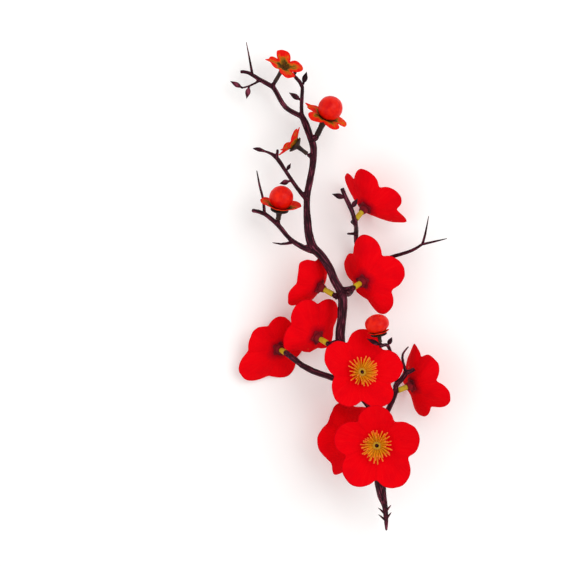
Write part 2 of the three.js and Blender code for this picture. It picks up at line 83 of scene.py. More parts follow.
# Stamen piece: a hollow stem and a hub as pairs of radius and height
GAP = 0.35
STEM_LENGTH = 10.6
STEM_PROFILE = [
    (1.15, GAP - STEM_LENGTH), (1.45, GAP - STEM_LENGTH), (1.62, 0.8 - STEM_LENGTH),
    (1.6, -7), (1.52, -4), (1.6, 1), (3, 1.3), (4.3, 1.8), (4.7, 2.3), (4.2, 2.7),
    (2.6, 2.75), (1.7, 2.95), (1.35, 2.95), (1.15, 2.7), (1.15, GAP - STEM_LENGTH),
]
EYE_HEIGHT = 2.8

# Filaments: share of the length and radius there
FILAMENT_SHAPE = [
    (0, 0.46), (0.3, 0.42), (0.6, 0.37), (0.84, 0.34), (0.93, 0.41), (0.985, 0.36), (1, 0.16),
]
FILAMENTS = 58
FILAMENT_ROOT = 2.1
FILAMENT_FOOT = 1.9
FILAMENT_LENGTH = 7.7
FILAMENT_RISE = 15
FILAMENT_SPAN = 48
FILAMENT_SAG = 0.9
GOLDEN_ANGLE = pi * (3 - sqrt(5))

# Places on the stamen piece's run of colours
STEM_TONE = 0.25
EYE_TONE = 0.22
HUB_TONE = 0.45
FILAMENT_TONE = 0.5

# Bud flower: room round its ball, its cloth, its cup and the flat end of its closed peg
BALL_GAP = 0.5
BUD_SHEET_ROOM = 0.65
BUD_SHEET = 0.4
BUD_REACH = 12
SHEET_START = 5
BRIM_CLEAR = 2
CUP_WALL = 0.8
PEG_END = 0.85

# Petal of a bud flower that ends in a thin drawn-out thread
SPURS = {"bud_a": 3, "bud_b": 3}
SPUR_LENGTH = 3.4
SPUR_WIDTH = 0.07

# Bosses and pins of the branch that the flowers are pushed on
BOSS_END = 1.8
BLOSSOM_BOSS = 1.7
BLOSSOM_PIN = 0.95
PIN_PAST_SEAT = 2.75
BUD_PIN = 0.5
BUD_PIN_LENGTH = 2.5

# Surface of the branch
ROUTE_STEP = 2.5
MERGE_SIZE = 0.4
SMOOTH_PASSES = 3
WIDEST_RIDGED = 2.6
RIDGE = 0.12
FINE_RIDGE = 0.05

# Leaf bud: share of its length and of its width there
LEAF_BUD_SHAPE = [
    (0, 0.45), (0.18, 0.42), (0.3, 0.8), (0.45, 1), (0.6, 0.92), (0.78, 0.55), (0.92, 0.22),
    (1, 0.08),
]
LEAF_BUD_FLATNESS = 0.4

# A blossom: middle of its cloth, way it faces, turn of its first petal, depth of its cup, share
# of its notches that is filled, each petal's reach, lift and point, and its place on the branch
Blossom = namedtuple("Blossom", "seat facing turn cup full petals stalk")
BLOSSOMS = [
    Blossom((14, 45, 19.3), (0.545, 0.675, -0.5), 32, 14, 0.05,
            ((0.84, 3), (1.03, -2, 0.6), (0.76, 2), (0.92, 0), (0.88, -4)), (8, 36.6, 29)),
    Blossom((12.7, 2.8, 22.3), (0.52, 0.33, -0.79), 14, 10, 0,
            ((1, 0), (0.9, -20), (0.5, 8), (0.92, 10), (1.04, -6)), (1.6, -2, 26.8)),
    Blossom((-12.5, -0.1, 19.4), (-0.79, 0.454, -0.42), 17, 11, 0.2,
            ((0.9, 0, 0.6), (0.73, 0), (0.76, 0), (0.92, 0), (0.84, 0)), (0, -4, 27)),
    Blossom((-13.8, -28.9, 22.4), (-0.58, 0.34, -0.74), 32, 7, 0.3,
            ((0.98, 0), (1, 0), (0.6, 0), (0.5, 15), (0.86, 0)), (-0.4, -31.5, 26.5)),
    Blossom((-35.3, -35.8, 10.8), (-0.36, 0.2, -0.91), 0, 8, 0.3,
            ((0.76, 0), (0.78, 0), (0.74, 0), (0.82, 0), (1.1, 0)), (-22, -45.2, 24.2)),
    Blossom((10.9, -49.2, 38.6), (0.375, 0.25, 0.892), 14, 8, 0,
            ((1.04, -8), (1, 0), (1, 0), (1.02, -9), (1.07, -6)), (6.2, -54, 26)),
    Blossom((40.8, -56.2, 20), (0.84, 0.32, -0.44), 46, 14.5, 0,
            ((0.92, 0), (0.8, -20), (0.8, -12), (0.94, 0, 0.6), (0.84, 0)), (31, -60, 28)),
    Blossom((20.5, -89.9, 39.4), (-0.137, -0.156, 0.978), 41, 9, 0,
            ((1.05, 0), (1.04, 0), (1.08, -4), (1.1, -4), (1.08, -4)), (22, -88, 25.5)),
    Blossom((9.6, -87.5, 19.3), (-0.74, 0.015, -0.67), -3, 10, 0.6,
            ((1, 0), (0.94, 0), (0.96, -10), (0.8, -6), (1, 8, 0.8)), (21.5, -87.6, 25.5)),
]

# A bud flower: its place on the branch, foot of its peg, middle and radius of its ball, radius of
# its peg, degrees at the brim of the cup and at the edge of the open petals, their flare and droop,
# number and turn of its petals, flattening, and whether a ball fills it
Bud = namedtuple("Bud", "name stalk foot middle round peg brim open flare droop lobes turn squash "
                        "filled")
BUDS = [
    Bud("bud_a", (-38.6, 113.6, 16.8), (-37.6, 116.6, 18), (-31, 127.3, 28.6),
        3.6, 1.2, 38, 78, 6.4, 0, 4, 31, 1, False),
    Bud("bud_b", (-16.6, 83, 21.6), (-13.6, 86.1, 22), (-6.1, 101.2, 30.4),
        7, 1.7, 34, 72, 5, 4, 5, 36, 1, True),
    Bud("bud_c", (-16, 73, 22.3), (-19, 75.2, 22.9), (-30, 83.5, 24),
        4.6, 1.2, 48, 84, 5, 0, 5, 0, 1, False),
    Bud("bud_d", (-36.3, 35.4, 22.4), (-35.8, 37.8, 22.7), (-34, 50.3, 27),
        6.9, 1.5, 36, 74, 4.4, 1, 2, 96, 1, True),
    Bud("bud_e", (23, -33.6, 43.2), (22.1, -31.9, 44), (20.1, -21.2, 47),
        6.9, 1.1, 30, 47, 0.4, 0, 5, 0, 0.76, True),
]

# Routes from the thick end: x, y, z, radius
LIMBS = [
    [(26, -139.5, 18, 0.7), (25.7, -132, 18.6, 1.45), (25, -125, 19.2, 1.75),
     (23.4, -119, 20, 2.6), (22.4, -112, 21, 3.3), (22, -106, 22, 2.9), (22, -97, 24, 2.8),
     (22, -87.5, 25.5, 2.9), (21.3, -78, 26, 2.8), (18, -69.5, 26, 2.8), (11.5, -61.5, 26, 2.8),
     (5.5, -53.5, 26, 2.8), (1.5, -42, 26, 2.8), (-0.5, -29.5, 26, 2.8), (0.5, -18, 26.5, 2.8),
     (1, -8, 27, 2.75), (-0.5, -2.5, 27, 2.6), (-3.5, 3, 27, 2.5), (-6.5, 10, 26.5, 2.5),
     (-11.5, 17.5, 26, 2.5), (-16, 22, 25.5, 2.6), (-18, 28.5, 25, 2.5), (-19, 36.5, 24.5, 2.3),
     (-19.5, 46, 24, 1.95), (-19, 53.5, 23.5, 1.9), (-17.5, 61, 23, 1.95),
     (-16, 70.5, 22.5, 2), (-15.5, 78.5, 22, 2.05), (-17, 83.5, 21.5, 2), (-20.5, 93.5, 21, 2),
     (-23, 98, 20.5, 1.6)],
    [(-23, 97, 20.5, 1.5), (-31.5, 102, 19, 1.45), (-37, 111, 17, 1.4), (-38.5, 113.5, 16.5, 1.45),
     (-45.5, 117.5, 15.5, 1.3), (-53, 122, 14.5, 1.1), (-57.5, 122.5, 14, 1)],
    [(-22, 95.5, 20.5, 1.3), (-22.5, 102, 20, 1.15), (-22, 113.5, 19, 1.15),
     (-23.5, 116.5, 18.5, 1.2), (-27.5, 121, 17.5, 0.9)],
    [(-46, 117.5, 15.5, 0.8), (-52, 114.5, 14.5, 0.65), (-56.5, 113.2, 14, 0.6)],
    [(-19.5, 49.5, 24, 1.6), (-25, 56, 23.5, 1.25), (-31.5, 65.5, 22.5, 1.15),
     (-36.5, 73, 21.5, 1.3), (-40, 75.6, 21, 0.95), (-43.6, 77, 20.4, 0.8),
     (-46.6, 78, 20, 1.4), (-50.4, 78.6, 19.6, 0.35)],
    [(-36.5, 73, 21.5, 0.95), (-36, 78, 21.8, 0.8)],
    [(-16, 20.5, 25.5, 2.2), (-21.5, 22, 25, 1.7), (-29, 27, 24, 1.35), (-36, 35, 22.5, 1.4),
     (-43.5, 41.3, 21.5, 1.3), (-47, 42.5, 21, 1.2), (-50.8, 43.2, 20.6, 1.1)],
    [(-28, 24.8, 24, 1), (-34, 24, 23.6, 0.75), (-39.5, 25, 23.4, 0.3)],
    [(0.5, -4, 27, 2), (3.2, -4.6, 22, 1.5), (5, -4.4, 13, 1.3), (7.6, -0.5, 7, 1.2),
     (10.2, 9, 5.6, 1.2), (10, 18, 5.4, 1.2), (8.8, 26, 6.8, 1.3), (8.8, 31.4, 12, 1.4),
     (8.6, 34, 21, 1.4), (8.1, 36, 28, 1.45), (7.3, 38.8, 31, 1.4), (6.2, 42.8, 32, 1.4),
     (2.3, 51, 31.5, 1.35), (0.5, 55.7, 31, 1.25)],
    [(8.6, 30, 10.6, 0.9), (3.6, 30, 11, 0.75)],
    [(8.6, 22, 6, 1.1), (15.5, 20, 5.6, 1), (23.5, 15.8, 8.4, 1), (31.2, 17.4, 14.6, 1.1),
     (40.5, 20.4, 19, 1), (46.5, 24, 20.5, 0.85)],
    [(7.5, -56, 26, 2.2), (0, -54, 26.5, 1.9), (-6.5, -51.5, 26.5, 1.8),
     (-15.5, -48.5, 25.4, 1.8), (-23, -44.6, 24, 1.7)],
    [(22, -81, 26, 2.2), (24.5, -75.5, 26.5, 1.7), (29, -65.5, 27.5, 1.6), (31, -60, 28, 1.7),
     (31.2, -56.5, 27.6, 1.6), (34.5, -53, 27, 1.5), (37.3, -49, 27, 1.6), (39.6, -48.4, 27.2, 1.3),
     (41.8, -47, 27.4, 1.2)],
    [(31.2, -58, 27.8, 1.2), (31.6, -50, 25, 1.1), (30.4, -43, 26.5, 1.05),
     (28.2, -37.6, 30.5, 1.05), (26.8, -34.2, 35.5, 1.05), (25.2, -33.2, 40, 1.05),
     (23, -33.6, 43.2, 1.05)],
]
NEEDLES = [
    [(-50.5, 120.5, 14.8, 0.8), (-51.5, 126.5, 14.4, 0.65), (-54, 139.5, 13.5, 0.2)],
    [(-43.5, 41.5, 21.5, 0.95), (-44.5, 50, 16.5, 0.75), (-46.5, 58, 15.5, 0.6),
     (-48, 66, 15.5, 0.3)],
    [(46.3, 23.6, 20.5, 0.8), (48, 29.5, 21, 0.65), (50, 40, 22, 0.2)],
    [(46, 23.8, 20.5, 0.75), (53.5, 25.5, 21, 0.6), (60.5, 27.2, 21.4, 0.2)],
    [(37.1, -49.2, 27, 0.95), (35.2, -43.2, 26.6, 0.8), (35.2, -38.5, 26.2, 0.65),
     (38.4, -34.4, 26, 0.35)],
    [(24.4, -129.2, 18.9, 0.7), (22.8, -127.6, 18.9, 0.5), (21.2, -126.4, 18.9, 0.15)],
    [(24.8, -133, 18.5, 0.7), (23, -131.4, 18.5, 0.5), (21.4, -130.2, 18.5, 0.15)],
    [(26.4, -127.6, 19, 0.7), (27.6, -126.1, 19, 0.5), (28.6, -124.8, 19, 0.15)],
    [(26.6, -131.8, 18.6, 0.7), (27.8, -130.2, 18.6, 0.5), (28.8, -129, 18.6, 0.15)],
]

# Pointed leaf buds: root, tip, widest radius
LEAF_BUDS = [
    ((-21.7, 115, 18.9), (-19.5, 122.3, 19.6), 1.7),
    ((-22.6, 106, 19.8), (-29.5, 110.3, 20.6), 1.6),
    ((-56, 113.2, 14), (-63.2, 117.2, 13.6), 1.5),
    ((-52.4, 114.4, 14.4), (-53.8, 107.2, 13.8), 1.6),
    ((-31, 65.6, 22.5), (-28.6, 70, 23), 1.1),
    ((-28.8, 60, 23), (-35, 58.4, 22.8), 1.6),
    ((2.8, 50, 31.6), (-5.2, 52.4, 31.6), 1.65),
    ((5.8, 44, 32), (9.4, 49.8, 33.2), 1.6),
    ((26.4, -33.8, 37.2), (28.8, -28.8, 39), 1.4),
    ((22.8, -33.8, 42.8), (14.4, -29.6, 42.8), 1.4),
    ((-26.8, 119.9, 17.6), (-25.4, 124.4, 17), 1),
]

# Finishes

# Sockets of a colour mix: the first colour, the second and the result
MIX_FIRST = 6
MIX_SECOND = 7
MIX_RESULT = 2


def add(tree, kind, inputs=None, **settings):
    """Adds a shader node; its inputs are values or other nodes' outputs"""
    made = tree.nodes.new(kind)
    for key, value in settings.items():
        setattr(made, key, value)
    for socket, value in (inputs or {}).items():
        if isinstance(value, bpy.types.NodeSocket):
            tree.links.new(value, made.inputs[socket])
        else:
            made.inputs[socket].default_value = value
    return made


def new_finish(name, values):
    """A material, its node tree and its surface shader"""
    made = bpy.data.materials.new(name)
    made.use_nodes = True
    shader = made.node_tree.nodes["Principled BSDF"]
    for socket, value in values.items():
        shader.inputs[socket].default_value = value
    return made, made.node_tree, shader


def colour(red, green, blue):
    """Linear colour of a screen colour from 0 to 255"""
    def linear(value):
        share = value / 255
        return share / 12.92 if share <= 0.04045 else ((share + 0.055) / 1.055) ** 2.4
    return (linear(red), linear(green), linear(blue), 1)


def mixed(tree, factor, first, second):
    """Blend of two colours, where a factor of 1 gives the second"""
    inputs = {"Factor": factor, MIX_FIRST: first, MIX_SECOND: second}
    return add(tree, "ShaderNodeMix", inputs, data_type="RGBA").outputs[MIX_RESULT]


def ramp(tree, factor, *stops):
    """Smooth colour steps; each stop is a place and a colour or a grey"""
    made = add(tree, "ShaderNodeValToRGB", {"Fac": factor})
    elements = made.color_ramp.elements
    while len(elements) < len(stops):
        elements.new(0.5)
    for element, (place, value) in zip(elements, stops):
        element.position = place
        element.color = value if isinstance(value, tuple) else (value, value, value, 1)
    return made.outputs["Color"]


def clouds(tree, vector, scale, detail=3, stretch=None):
    """Soft noise, stretched along its axes where asked"""
    if stretch:
        vector = add(tree, "ShaderNodeMapping", {"Vector": vector, "Scale": stretch}).outputs[0]
    return add(tree, "ShaderNodeTexNoise",
               {"Vector": vector, "Scale": scale, "Detail": detail}).outputs["Fac"]


def attribute(tree, name, output="Fac"):
    """What the mesh stores at each point under a name"""
    return add(tree, "ShaderNodeAttribute", attribute_name=name).outputs[output]


def own_place(tree):
    """Place in the piece's own axes"""
    return add(tree, "ShaderNodeTexCoord").outputs["Object"]


def maths(tree, operation, first, second):
    return add(tree, "ShaderNodeMath", {0: first, 1: second}, operation=operation).outputs[0]


def scaled(tree, factor, share):
    return maths(tree, "MULTIPLY", factor, share)


def raised(tree, shader, height, strength, distance, under=None):
    """Relief on the surface shader, laid over another relief where one is given"""
    inputs = {"Height": height, "Strength": strength, "Distance": distance}
    if under:
        inputs["Normal"] = under
    normal = add(tree, "ShaderNodeBump", inputs).outputs["Normal"]
    tree.links.new(normal, shader.inputs["Normal"])
    return normal


def weave(tree):
    """Crossed threads on the cloth's own flat coordinates"""
    flat = add(tree, "ShaderNodeUVMap", uv_map="cloth").outputs["UV"]
    threads = [add(tree, "ShaderNodeTexWave", {"Vector": flat, "Scale": 31.0, "Distortion": 0.6},
                   bands_direction=way).outputs["Fac"] for way in ("X", "Y")]
    return maths(tree, "ADD", *threads)


def woven(tree, shader, veins, strength, depth):
    """Relief of the veins, with the threads of the cloth over it"""
    under = raised(tree, shader, veins, strength, depth)
    raised(tree, shader, weave(tree), 0.3, 0.08 * MM, under)


def blossom_cloth_finish():
    """Dyed red cloth, with painted shade in maroon round the calyx on the back"""
    red = colour(234, 0, 14)
    vein_red = colour(246, 18, 22)
    patch_red = colour(214, 0, 16)
    painted_calyx_shade = colour(136, 8, 28)
    rim_red = colour(190, 0, 18)
    finish, tree, shader = new_finish("red_blossom_cloth", {
        "Roughness": 0.85, "Specular IOR Level": 0.03})
    edge = attribute(tree, "edge")
    veins = clouds(tree, attribute(tree, "petal", "Vector"), 2.4, 4, (7, 0.9, 3))
    patches = clouds(tree, own_place(tree), 110)
    veined = scaled(tree, ramp(tree, veins, (0.45, 0.0), (0.75, 1.0)), 0.45)
    patched = scaled(tree, ramp(tree, patches, (0.45, 0.0), (0.7, 1.0)), 0.55)
    # Painted shade: maroon on the cloth's back round the calyx, where the sepals and stem shade it
    middle = ramp(tree, edge, (0.05, 0.75), (0.3, 0.0))
    behind = scaled(tree, middle, attribute(tree, "back"))
    rim = ramp(tree, edge, (0.965, 0.0), (1.0, 0.5))
    tone = mixed(tree, veined, red, vein_red)
    tone = mixed(tree, patched, tone, patch_red)
    tone = mixed(tree, behind, tone, painted_calyx_shade)
    tone = mixed(tree, rim, tone, rim_red)
    tree.links.new(tone, shader.inputs["Base Color"])
    woven(tree, shader, veins, 0.45, 0.6 * MM)
    return finish


def bud_cloth_finish():
    """Cloth that runs from dark olive through orange to red at its edge"""
    dark_olive = colour(48, 46, 12)
    olive = colour(124, 98, 14)
    orange = colour(212, 90, 8)
    scarlet = colour(226, 44, 6)
    red = colour(226, 8, 8)
    vein_orange = colour(240, 84, 12)
    line_olive = colour(58, 50, 12)
    finish, tree, shader = new_finish("bud_cloth", {
        "Roughness": 0.75, "Specular IOR Level": 0.08})
    edge = attribute(tree, "edge")
    patches = clouds(tree, own_place(tree), 300, 4)
    veins = clouds(tree, attribute(tree, "petal", "Vector"), 2.2, 4, (6, 1, 3))
    reach = scaled(tree, maths(tree, "ADD", edge, patches), 0.5)
    lines = ramp(tree, veins, (0.36, 1.0), (0.44, 0.0))
    inner = ramp(tree, edge, (0.6, 1.0), (0.96, 0.0))
    lined = scaled(tree, scaled(tree, lines, inner), 0.55)
    tone = ramp(tree, reach, (0.48, dark_olive), (0.56, olive), (0.62, orange),
                (0.665, scarlet), (0.72, red))
    tone = mixed(tree, ramp(tree, veins, (0.52, 0.0), (0.8, 0.6)), tone, vein_orange)
    tone = mixed(tree, lined, tone, line_olive)
    tree.links.new(tone, shader.inputs["Base Color"])
    woven(tree, shader, veins, 0.5, 0.5 * MM)
    return finish


def bark_finish():
    """Dark burgundy plastic with paler lengthwise streaks on its ridges"""
    groove = colour(20, 2, 8)
    dark_burgundy = colour(46, 7, 21)
    burgundy = colour(74, 16, 34)
    pale_streak = colour(142, 60, 82)
    speck = colour(26, 5, 12)
    finish, tree, shader = new_finish("moulded_bark", {
        "Roughness": 0.55, "Specular IOR Level": 0.12})
    place = attribute(tree, "bark", "Vector")
    streaks = clouds(tree, place, 1.0, 5, (1.7, 1.7, 0.17))
    fine = clouds(tree, place, 1.0, 3, (4.5, 4.5, 0.8))
    tone = ramp(tree, streaks, (0.36, groove), (0.48, dark_burgundy), (0.57, burgundy),
                (0.67, pale_streak))
    tone = mixed(tree, ramp(tree, fine, (0.5, 0.0), (0.72, 0.6)), tone, speck)
    tree.links.new(tone, shader.inputs["Base Color"])
    under = raised(tree, shader, streaks, 0.9, 0.6 * MM)
    raised(tree, shader, fine, 0.5, 0.2 * MM, under)
    return finish


def stamen_finish():
    """Ochre stem, amber hub and filaments with orange-pink tips"""
    stem_foot = colour(196, 170, 20)
    stem_top = colour(184, 150, 22)
    hub = colour(190, 124, 12)
    filament = colour(228, 150, 6)
    filament_end = colour(246, 152, 10)
    tip = colour(246, 106, 52)
    patch = colour(178, 110, 12)
    finish, tree, shader = new_finish("stamen_plastic", {
        "Roughness": 0.5, "Specular IOR Level": 0.25, "Subsurface Weight": 0.1,
        "Subsurface Radius": (1.0, 0.6, 0.2), "Subsurface Scale": 0.001})
    patches = clouds(tree, own_place(tree), 420)
    tone = ramp(tree, attribute(tree, "tone"), (0.0, stem_foot), (0.25, stem_top), (0.4, hub),
                (0.5, filament), (0.75, filament_end), (1.0, tip))
    tone = mixed(tree, ramp(tree, patches, (0.45, 0.0), (0.75, 0.6)), tone, patch)
    tree.links.new(tone, shader.inputs["Base Color"])
    raised(tree, shader, patches, 0.4, 0.2 * MM)
    return finish


def mottled_finish(name, values, scale, low, high, depth, strength):
    """Two tones in soft patches over a bumpy surface"""
    finish, tree, shader = new_finish(name, values)
    patches = clouds(tree, own_place(tree), scale, 4)
    tone = ramp(tree, patches, (0.35, low), (0.7, high))
    tree.links.new(tone, shader.inputs["Base Color"])
    raised(tree, shader, patches, strength, depth)
    return finish


RED_CLOTH = blossom_cloth_finish()
BUD_CLOTH = bud_cloth_finish()
BARK = bark_finish()
STAMEN = stamen_finish()
SEPAL = mottled_finish(
    "sepal_cloth", {"Roughness": 0.75, "Specular IOR Level": 0.15}, 330,
    colour(98, 8, 22), colour(144, 14, 28), 0.3 * MM, 0.6)
CUP = mottled_finish(
    "bud_cup_plastic", {"Roughness": 0.55, "Specular IOR Level": 0.25}, 300,
    colour(28, 8, 14), colour(58, 36, 22), 0.3 * MM, 0.6)
BALL = mottled_finish(
    "bud_ball_film", {"Roughness": 0.4, "Specular IOR Level": 0.12, "Coat Weight": 0.03,
                      "Coat Roughness": 0.2}, 260,
    colour(206, 0, 2), colour(240, 34, 6), 0.4 * MM, 0.35)


# Shared shapes


def smooth_route(route, spacing):
    """Points and radii on a smooth curve through a route"""
    points = [Vector(stop) for stop in route]
    made = [points[0]]
    for number in range(len(points) - 1):
        start, end = points[number], points[number + 1]
        before = points[max(number - 1, 0)]
        after = points[min(number + 2, len(points) - 1)]
        pull = start + (end - before) / 6
        push = end - (after - start) / 6
        steps = max(1, round((end - start).length / spacing))
        for step in range(1, steps + 1):
            along = step / steps
            rest = 1 - along
            made.append(start * rest ** 3 + pull * 3 * rest * rest * along
                        + push * 3 * rest * along * along + end * along ** 3)
    return made


def frames_along(points):
    """A matrix at each point whose Z follows the route, without twisting"""
    made = []
    side = None
    for number, point in enumerate(points):
        ahead = points[min(number + 1, len(points) - 1)].to_3d()
        behind = points[max(number - 1, 0)].to_3d()
        way = (ahead - behind).normalized()
        if side is None:
            side = way.orthogonal().normalized()
        side = (side - way * side.dot(way)).normalized()
        matrix = Matrix((side, way.cross(side), way)).transposed().to_4x4()
        matrix.translation = point.to_3d()
        made.append(matrix)
    return made


def boundary(bm, edges):
    """Moves on from a ring of edges to the ring that an extrusion of it makes"""
    made = bmesh.ops.extrude_edge_only(bm, edges=edges)["geom"]
    verts = [item for item in made if isinstance(item, bmesh.types.BMVert)]
    ring = [item for item in made if isinstance(item, bmesh.types.BMEdge) and item.is_boundary]
    return ring, verts


def limb(bm, points, sides):
    """Closed tapered limb: a ring of edges extruded through points that carry their radius"""
    places = [place @ Matrix.Scale(point[3], 4)
              for place, point in zip(frames_along(points), points)]
    first = bmesh.ops.create_circle(bm, segments=sides, radius=1, cap_ends=True, matrix=places[0])
    verts = first["verts"]
    ring = list({edge for vert in verts for edge in vert.link_edges})
    every = list(verts)
    for before, after in zip(places, places[1:]):
        ring, verts = boundary(bm, ring)
        bmesh.ops.transform(bm, matrix=after @ before.inverted(), verts=verts)
        every += verts
    bmesh.ops.contextual_create(bm, geom=ring)
    return every


def turned(bm, profile, sides, closed=False):
    """Turned shape about Z through pairs of radius and height"""
    start, level = profile[0]
    first = bmesh.ops.create_circle(bm, segments=sides, radius=start, cap_ends=not closed,
                                    matrix=Matrix.Translation((0, 0, level)))
    verts = first["verts"]
    ring = list({edge for vert in verts for edge in vert.link_edges})
    every = list(verts)
    for (before, low), (after, high) in zip(profile, profile[1:]):
        ring, verts = boundary(bm, ring)
        share = after / before
        bmesh.ops.scale(bm, vec=(share, share, 1), verts=verts)
        bmesh.ops.translate(bm, vec=(0, 0, high - low), verts=verts)
        every += verts
    if closed:
        bmesh.ops.remove_doubles(bm, verts=every, dist=1e-4)
    else:
        bmesh.ops.contextual_create(bm, geom=ring)
    return [vert for vert in every if vert.is_valid]


def placing(seat, facing, turn):
    """From a flower's own axes, where Z looks out of it, to the branch's"""
    out = Vector(facing).normalized()
    upward = (UP - out * UP.dot(out)).normalized()
    first = upward * cos(turn) + out.cross(upward) * sin(turn)
    matrix = Matrix((first, out.cross(first), out)).transposed().to_4x4()
    matrix.translation = Vector(seat)
    return matrix


def ring_sheet(around, rings, place):
    """Open ring-shaped sheet: a circle extruded outwards, then each point set by
    place(share, angle), which also gives its petal coordinates"""
    bm = bmesh.new()
    edge_layer = bm.verts.layers.float.new("edge")
    petal_layer = bm.verts.layers.float_vector.new("petal")
    bm.verts.layers.float.new("back")
    cloth_layer = bm.loops.layers.uv.new("cloth")
    bmesh.ops.create_circle(bm, segments=around, radius=1)
    ring = bm.edges[:]
    for number in range(rings):
        ring, verts = boundary(bm, ring)
        share = (number + 2) / (number + 1)
        bmesh.ops.scale(bm, vec=(share, share, 1), verts=verts)
    flat = {}
    for vert in bm.verts:
        share = (vert.co.xy.length - 1) / rings
        angle = atan2(vert.co.y, vert.co.x)
        point, petal, cut = place(share, angle)
        vert[edge_layer] = share
        vert[petal_layer] = petal
        flat[vert] = cut
        vert.co = point
    for face in bm.faces:
        for loop in face.loops:
            loop[cloth_layer].uv = flat[loop.vert]
    bmesh.ops.recalc_face_normals(bm, faces=bm.faces)
    if sum(face.normal.z for face in bm.faces) < 0:
        bmesh.ops.reverse_faces(bm, faces=bm.faces)
    return bm


def thicken(bm, thickness):
    """Gives a sheet its thickness, half to each side, and marks its back"""
    back_layer = bm.verts.layers.float["back"]
    bm.normal_update()
    front = set(bm.verts)
    for vert in front:
        vert.co += vert.normal * thickness / 2
    bmesh.ops.solidify(bm, geom=bm.faces[:], thickness=thickness)
    for vert in bm.verts:
        vert[back_layer] = 0 if vert in front else 1
    bmesh.ops.recalc_face_normals(bm, faces=bm.faces)


def object_of(name, bm, finish, matrix=None):
    """Object with this mesh, placed by the matrix and turned to metres"""
    bm.transform(Matrix.Scale(MM, 4) @ (matrix or Matrix.Identity(4)))
    mesh = bpy.data.meshes.new(name)
    bm.to_mesh(mesh)
    bm.free()
    mesh.materials.append(finish)
    mesh.shade_smooth()
    made = bpy.data.objects.new(name, mesh)
    bpy.context.scene.collection.objects.link(made)
    return made


def stands_for(piece, node):
    """Ties a piece to the body and hides the imported part that it shows"""
    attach(piece, "root")
    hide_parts(node)


def smoothed(piece):
    """One level of smoothing, seen and rendered alike"""
    smooth = piece.modifiers.new("smooth", "SUBSURF")
    smooth.levels = 1
    smooth.render_levels = 1


def petal_at(angle, count):
    """Angle from the nearest petal's middle, its share of the half pitch, own and next number"""
    pitch = 2 * pi / count
    number = round(angle / pitch)
    off = angle - number * pitch
    own = number % count
    return off, abs(off) / (pitch / 2), own, (own + (-1 if off < 0 else 1)) % count


def on_cloth(distance, angle):
    """Place on the flat cloth, counted from the middle of its square"""
    across = distance * cos(angle) / CLOTH_SQUARE
    along = distance * sin(angle) / CLOTH_SQUARE
    return 0.5 + across, 0.5 + along


# Blossoms


def lobe(off, fold, point):
    """Outline of a petal as a share of its reach: round, or drawn to a point"""
    side = LOBE_CENTRE * sin(off)
    rounded = LOBE_CENTRE * cos(off) + sqrt(LOBE_RADIUS ** 2 - side ** 2)
    pointed = NOTCH + (1 - NOTCH) * (1 - fold) ** 1.5
    return rounded + point * (pointed - rounded)


def petal_edge(full, petals, angle):
    """Radius and lift of the cloth's edge at an angle, and where on its petal that is"""
    off, fold, own, following = petal_at(angle, PETALS)
    mix = 0.5 * fold * fold
    reach = petals[own][0] * (1 - mix) + petals[following][0] * mix
    lift = petals[own][1] * (1 - mix) + petals[following][1] * mix
    point = petals[own][2] if len(petals[own]) > 2 else 0
    cut = lobe(off, fold, point)
    cut += full * fold * fold * (FULL - cut)
    return REACH * reach * cut, radians(lift), fold, off, own


def petal_point(cup, full, petals, share, angle):
    """Point of the cupped cloth at a share of the way from its hole to its edge"""
    radius, lift, fold, _, _ = petal_edge(full, petals, angle)
    out = share * (radius - PETAL_HOLE)
    spread = out / (REACH - PETAL_HOLE)
    rise = (cup + EDGE_CURL * fold * fold) * max(spread, 0) ** 1.5
    bend = lift * min(1, 3 * spread)
    far = PETAL_HOLE + out * cos(bend) - rise * sin(bend)
    return Vector((far * cos(angle), far * sin(angle), out * sin(bend) + rise * cos(bend)))


def petal_sheet(number, blossom):
    """Cloth of a blossom, waved and frilled, with a crease down each petal"""
    name = f"blossom_{number}_petals"

    def place(share, angle):
        radius, _, fold, off, own = petal_edge(blossom.full, blossom.petals, angle)
        point = petal_point(blossom.cup, blossom.full, blossom.petals, share, angle)
        wander = Vector((3 * cos(angle), 3 * sin(angle), 11.3 * number))
        frill = noise.noise(wander * 1.6 + Vector((0, 0, share)))
        wave = noise.noise(wander * 0.7 + Vector((share * 1.4, 0, 4)))
        point.z += share * share * (WAVE * wave + FRILL * frill)
        point.z -= CREASE * (1 - fold) ** 3 * share
        grow = 1 + UNEVEN_EDGE * share * noise.noise(wander * 2.5)
        point.x *= grow
        point.y *= grow
        petal = Vector((off * 2, share, own + 7 * number))
        return point, petal, on_cloth(share * radius, angle)

    bm = ring_sheet(18 * PETALS, 15, place)
    thicken(bm, CLOTH)
    bm.transform(placing(blossom.seat, blossom.facing, radians(blossom.turn)))
    low = REST_HEIGHT + REST_EASE
    for vert in bm.verts:
        if vert.co.z < low:
            vert.co.z = REST_HEIGHT + REST_EASE * exp((vert.co.z - low) / REST_EASE)
    sheet = object_of(name, bm, RED_CLOTH)
    smoothed(sheet)
    stands_for(sheet, name)


